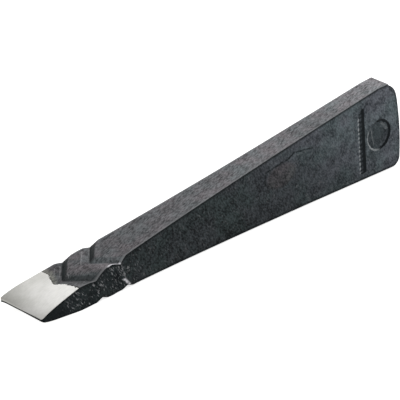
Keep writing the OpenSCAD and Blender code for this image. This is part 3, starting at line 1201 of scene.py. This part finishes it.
def side_color(net, scale, head_sheen_scale):
    """Black scale, greyer and lighter towards the head and its top as painted sheen, with flecks round
    the tip that are partly rubbed and partly painted glints, and painted shade under the arris.
    """
    tool_x = net.mask["tool_x"]
    # Painted sheen: the scale lightens towards the head and its top
    headward = net.total(tool_x, net.product(net.mask["tool_z"], HEADWARD_TILT))
    color = net.mix(net.ramp(headward, *HEADWARD), scale["Color"], head_sheen_scale["Color"])
    hue = net.noise(net.place, HUE_SIZE, 19.0, 2.0)
    color = net.tinted(color, net.mix(net.ramp(hue, 0.38, 0.62), SCALE_BLUE, SCALE_PURPLE))
    tipward = net.ramp(tool_x, *TIPWARD)
    past_corner = net.ramp(tool_x, *PAST_CORNER)
    blackened = net.product(tipward, net.ramp(past_corner, 0.0, 1.0, *TIP_BLACKNESS))
    color = net.mix(blackened, color, NOTCH_BLACK_AND_SHADE)
    # Painted glints: bright flecks on the rough scale round the tip, partly rubbed spots
    flecks = net.group(fleck_field_group())["Mask"]
    flecks = net.product(flecks, net.ramp(past_corner, 0.15, 1.0, *CORNER_FLECKS))
    flecked = net.product(flecks, net.ramp(tipward, 0.0, 1.0, *TIP_FLECKS))
    color = net.mix(flecked, color, WORN_AND_GLINT_GREY)
    # Rubbed ridges at the rear notch, with painted highlights where the light catches them
    color = net.mix(net.side_lines(RIDGE_LINES), color, WORN_AND_GLINT_GREY)
    color = flake_color(net, color)
    # Painted shade on the side just under the arris, fading out at the crown
    under_arris = net.ramp(net.mask["arris"], *ARRIS_SHADE_REACH)
    under_arris = net.product(under_arris, net.ramp(tool_x, *CROWNWARD, *ARRIS_SHADE))
    return net.mix(under_arris, color, NOTCH_BLACK_AND_SHADE), flecked


def notch_shade(net):
    """Where the notches are dark: scale kept in the hollows, painted shade on the far walls and floors,
    which face away from the light, and all of the front notch.
    """
    wall, front = net.mask["wall"], net.mask["front_notch"]
    far_wall = net.product(net.ramp(wall, 0.0, 0.4, 0.0, FAR_WALL_SHADE), net.far)
    floor = net.product(net.ramp(wall, 0.55, 0.75), net.far)
    front_wall = net.ramp(net.far, 0.0, 1.0, *FRONT_WALL_SHADE)
    front_wall = net.product(net.ramp(wall, 0.1, 0.6), front, front_wall)
    front_ramp = net.product(net.ramp(net.mask["ramp"], 0.0, 1.0, *FRONT_RAMP_SHADE), front)
    return net.most(far_wall, floor, front_wall, front_ramp)


def face_color(net, scale):
    """Working faces: rubbed to a streaky satin grey, lighter than the sides partly as painted light from
    above, with painted light on the lobe, and dark again on the notches' walls.
    """
    tool_x, near = net.mask["tool_x"], net.rest(net.far)
    near_wall = net.product(net.ramp(net.mask["wall"], 0.0, 0.3), near)
    along = net.total(tool_x, net.product(net.across, NOTCH_LEAN))
    on_lobe = net.product(net.ramp(along, *LOBE_START), net.ramp(along, *LOBE_END))
    warmth = net.total(0.55, net.product(near_wall, -0.6), net.product(on_lobe, 0.35))
    satin = net.group(satin_group(), Warmth=warmth)
    # Brightness of the rubbed faces, partly painted light: the lobe between the notches lighter, the near
    # walls a little darker
    level = net.total(
        net.ramp(tool_x, *BODY_LIGHTER, *BODY_LEVEL),
        net.ramp(tool_x, *HEAD_LIGHTER, 0.0, HEAD_LEVEL),
        net.product(on_lobe, near, LOBE_LEVEL),
        net.product(near_wall, WALL_LEVEL),
    )
    level = net.product(level, satin["Shade"], SATIN_LEVEL)
    level = net.product(level, net.rest(net.product(satin["Pits"], PIT_SHADE)))
    rubbed = net.scaled(satin["Color"], level)
    # Kept scale darkened towards black; it also stands for painted shade on the far walls and floors
    unrubbed_and_shade = net.mix(0.65, scale["Color"], NOTCH_BLACK_AND_SHADE)
    rubbed = net.mix(notch_shade(net), rubbed, unrubbed_and_shade)
    fuller = net.product(net.line_marks(FULLER_LINES, tool_x, net.across), net.upper)
    rubbed = net.mix(fuller, rubbed, WORN_AND_GLINT_GREY)
    wear = net.group(edge_wear_group(), Distance=net.mask["arris"])["Mask"]
    return net.mix(net.product(wear, EDGE_WEAR), rubbed, WORN_AND_GLINT_GREY), satin


def stamped_color(net, color):
    """Stamped marks: painted shade in their hollows, painted highlights on the recess's lit rim and
    creases, and a burr bright from wear, with painted glints.
    """
    aside = net.less(net.mask["tool_x"], RING_X)
    above = net.less(net.mask["tool_z"], RING_Z)
    rim = net.group(stamped_rim_group(), Aside=aside, Above=above)
    # Painted shade in the hollows of the line and the recess, left lighter on the teeth
    solid = net.rest(net.product(net.mask["teeth"], 0.6))
    sunk = net.product(net.ramp(net.mask["line"], 0.0, 0.14, 0.0, 0.95), solid)
    dished = net.product(net.mask["ring"], 0.45)
    shaded_rim = net.product(rim["Dark"], net.marked, 0.95)
    hollow = net.most(sunk, dished, shaded_rim, net.side_lines(RING_SHADES))
    color = net.mix(hollow, color, NOTCH_BLACK_AND_SHADE)
    # Painted highlights on the lit rim and creases, and the burr bright with painted glints
    bright_rim = net.product(rim["Bright"], net.marked, 0.9)
    burr = net.ramp(net.mask["burr"], 0.1, 0.6, 0.0, 0.8)
    return net.mix(net.most(bright_rim, net.side_lines(RING_LINES), burr), color, BURR_AND_HIGHLIGHT_GREY)


def bared_color(net, color):
    """Bare steel on the arris of the rear notch, and a nick at its lower end."""
    arris = net.product(net.ramp(net.mask["arris"], 1.3, 0.3), net.ramp(net.across, *NEAR_ARRIS))
    tool_x = net.mask["tool_x"]
    within = net.product(net.ramp(tool_x, *BARE_START), net.ramp(tool_x, *BARE_END))
    bare = net.product(arris, net.ramp(net.mask["working"], 0.1, 0.3), within, net.upper)
    bare = net.most(bare, net.side_lines((NICK_LINE,)))
    return net.mix(net.product(bare, 0.85), color, WORN_STEEL), bare


def tip_color(net, color, satin):
    """The ground tip, with the ragged limit of the grinding and the dull blunt land, dark on its lower
    part as painted shade.
    """
    grind, tool_x = net.mask["grind"], net.mask["tool_x"]
    ragged = net.swing(net.place, RAGGED_SIZE, 13.0, 3.0, 0.7)
    ground = net.ramp(net.total(grind, net.product(ragged, RAGGED_REACH)), -0.1, 0.1)
    lines = net.group(ground_lines_group())
    far_dull = net.ramp(net.across, *FAR_DULL, 0.0, 0.5)
    edge_dull = net.ramp(tool_x, *EDGE_DULL, 0.0, 0.28)
    cloud = net.ramp(lines["Cloud"], 0.3, 0.7, -0.12, 0.12)
    dull = net.math("ADD", net.total(far_dull, edge_dull), cloud, clamp=True)
    bright = net.mix(dull, GROUND_BRIGHT, GROUND_DULL)
    bright = net.scaled(bright, net.ramp(lines["Shade"], 0.25, 0.75, 0.93, 1.06))
    slant = net.ramp(net.across, *LAND_SLANT, *LAND_SPLIT)
    # Painted shade on the lower part of the blunt land, which faces away from the light
    shaded_land = net.ramp(net.less(net.mask["tool_z"], slant), 0.2 * MM, -0.2 * MM)
    land = net.product(net.ramp(tool_x, 0.45 * MM, 0.15 * MM), shaded_land)
    ground = net.product(ground, net.rest(land))
    mottled = net.ramp(satin["Shade"], 0.5, 1.4, 0.4, 1.0)
    tempered = net.product(net.ramp(grind, *TEMPER_REACH), net.on_face, net.far, mottled)
    color = net.mix(tempered, color, TEMPER_BROWN)
    at_rim = net.product(net.ramp(grind, -1.0, -0.1), net.on_face, 0.75)
    color = net.mix(at_rim, color, GROUND_RIM)
    color = net.mix(ground, color, bright)
    return net.mix(net.product(land, 0.8), color, SCALE_BLACK_AND_SHADE), ground, lines["Shade"]


def new_material(name):
    material = bpy.data.materials.new(name)
    material.use_nodes = True
    return material, material.node_tree.nodes["Principled BSDF"]


def forged_steel():
    """One piece of steel: black scale, rubbed working faces, a bright ground tip."""
    material, shader = new_material(SLOT)
    net = SteelNet(material.node_tree)
    scale_tree = forge_scale_group()
    scale = net.group(scale_tree)
    sides, flecked = side_color(net, scale, net.group(scale_tree, **HEAD_SHEEN_SCALE))
    faces, satin = face_color(net, scale)
    color = stamped_color(net, net.mix(net.on_face, sides, faces))
    color, bare = bared_color(net, color)
    color, ground, ground_lines = tip_color(net, color, satin)
    net.feed(shader.inputs["Base Color"], color)
    net.feed(shader.inputs["Metallic"], net.most(ground, net.product(bare, 0.5)))
    net.feed(shader.inputs["Roughness"], net.less(SCALE_ROUGHNESS, net.product(ground, 0.1)))
    shader.inputs["Specular IOR Level"].default_value = SCALE_SPECULAR
    grain = net.product(scale["Height"], net.rest(net.product(net.on_face, 0.5)))
    height = net.total(grain, net.product(flecked, 0.8), net.product(satin["Pits"], -0.4))
    height = net.product(height, net.rest(ground))
    height = net.total(height, net.product(ground_lines, ground, 0.05))
    bump = net.add("ShaderNodeBump", {"Strength": 0.7, "Distance": 0.16 * MM, "Height": height})
    net.feed(shader.inputs["Normal"], bump.outputs[0])
    return material


# Camera, fitted to the photograph's outline
CAMERA_PLACE = Vector((-0.62472, -0.72091, 0.46535))
CAMERA_FORWARD = Vector((0.58661, 0.69036, -0.42342))
CAMERA_UP = Vector((0.30847, 0.29295, 0.905))
CAMERA_LENS = 188.7


def set_camera():
    data = bpy.data.cameras.new("camera")
    data.lens = CAMERA_LENS
    data.sensor_width = 36
    data.clip_end = 20
    camera = added_object("camera", data)
    forward = CAMERA_FORWARD.normalized()
    level = forward.to_track_quat("-Z", "Y")
    level_up = level @ Vector((0, 1, 0))
    up = (CAMERA_UP - forward * CAMERA_UP.dot(forward)).normalized()
    roll = math.atan2(level_up.cross(up).dot(-forward), level_up.dot(up))
    camera.rotation_mode = "QUATERNION"
    camera.rotation_quaternion = level @ Quaternion((0, 0, 1), roll)
    camera.location = CAMERA_PLACE
    bpy.context.scene.camera = camera


def lamp(name, place, target, size, power):
    data = bpy.data.lights.new(name, "AREA")
    data.shape = "RECTANGLE"
    data.size, data.size_y = size
    data.energy = power
    light = added_object(name, data)
    light.location = place
    light.rotation_mode = "QUATERNION"
    light.rotation_quaternion = (Vector(target) - Vector(place)).to_track_quat("-Z", "Y")


def seen_or_mirrored(net):
    """1 for rays from the camera and for those that metal mirrors."""
    rays = net.add("ShaderNodeLightPath").outputs
    mirrored = net.most(rays["Is Glossy Ray"], rays["Is Transmission Ray"])
    return net.most(rays["Is Camera Ray"], mirrored)


def set_lights():
    lamp("back_right_softbox", (0.55, 0.95, 0.85), (0, 0, 0.02), (0.9, 0.6), KEY_POWER)
    lamp("front_top_softbox", (0.45, -0.3, 1.1), (0, 0, 0.02), (0.5, 0.5), FILL_POWER)
    world = bpy.data.worlds.new("studio")
    world.use_nodes = True
    net = NodeNet(world.node_tree)
    sky = world.node_tree.nodes["Background"]
    sky.inputs["Color"].default_value = (1, 1, 1, 1)
    lift = net.product(seen_or_mirrored(net), 1 - ROOM_LIGHT)
    net.feed(sky.inputs["Strength"], net.total(ROOM_LIGHT, lift))
    bpy.context.scene.world = world


def white_ground():
    """Pale ground that shows white to the camera and keeps a faint shadow."""
    material, shader = new_material("white_ground")
    net = NodeNet(material.node_tree)
    shader.inputs["Base Color"].default_value = (0.85, 0.85, 0.85, 1)
    shader.inputs["Roughness"].default_value = 0.9
    shader.inputs["Emission Color"].default_value = (1, 1, 1, 1)
    net.feed(shader.inputs["Emission Strength"], net.product(seen_or_mirrored(net), GROUND_GLOW))
    return material


def set_floor(height):
    mesh = bpy.data.meshes.new("floor")
    reach = 6
    corners = [(-reach, -reach), (reach, -reach), (reach, reach), (-reach, reach)]
    mesh.from_pydata([(x, y, height) for x, y in corners], [], [(0, 1, 2, 3)])
    mesh.materials.append(white_ground())
    added_object("floor", mesh)


bpy.context.scene.view_settings.view_transform = "Standard"
body = forged_piece(forged_steel())
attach(body, "root")
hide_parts(NODE)
set_camera()
set_lights()
set_floor(min(v.co.z for v in body.data.vertices))
